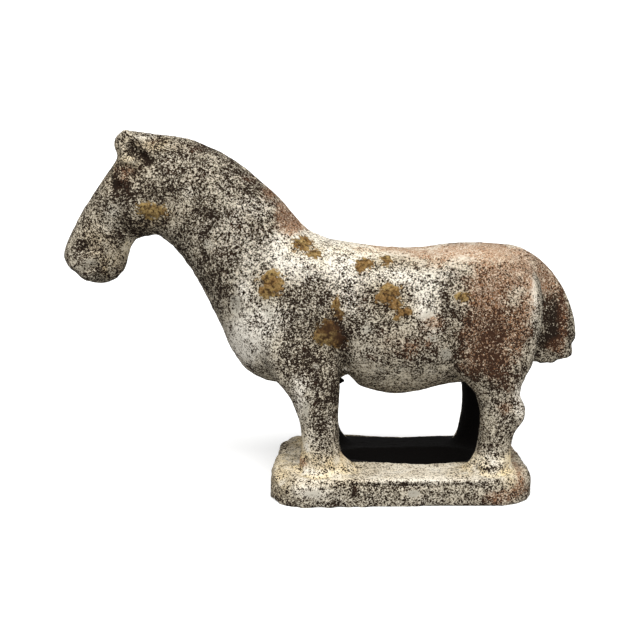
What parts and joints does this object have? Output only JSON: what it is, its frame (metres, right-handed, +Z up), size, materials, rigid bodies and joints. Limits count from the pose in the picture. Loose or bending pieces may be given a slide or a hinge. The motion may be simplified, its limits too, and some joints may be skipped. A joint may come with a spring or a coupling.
{
  "type": "horse figurine",
  "caption": "Small earthenware horse standing on short legs on a low rounded plinth that an oval opening goes through; stands on its underside as an ornament.",
  "frame": {"origin": "On the plane of the plinth's underside, under the middle of the figure's overall length and width.", "axes": "+X runs from the horse's muzzle to its tail, so the horse faces -X; +Z is up; its left side is towards -Y."},
  "size_m": [0.2819, 0.102, 0.1949],
  "materials": {
    "slipped_earthenware": "Matt unglazed earthenware: worn greyish white slip, speckled dark, over a reddish brown body, with ochre soil."
  },
  "bodies": {
    "root": {"earthenware_horse": "slipped_earthenware"}
  },
  "joints": []
}
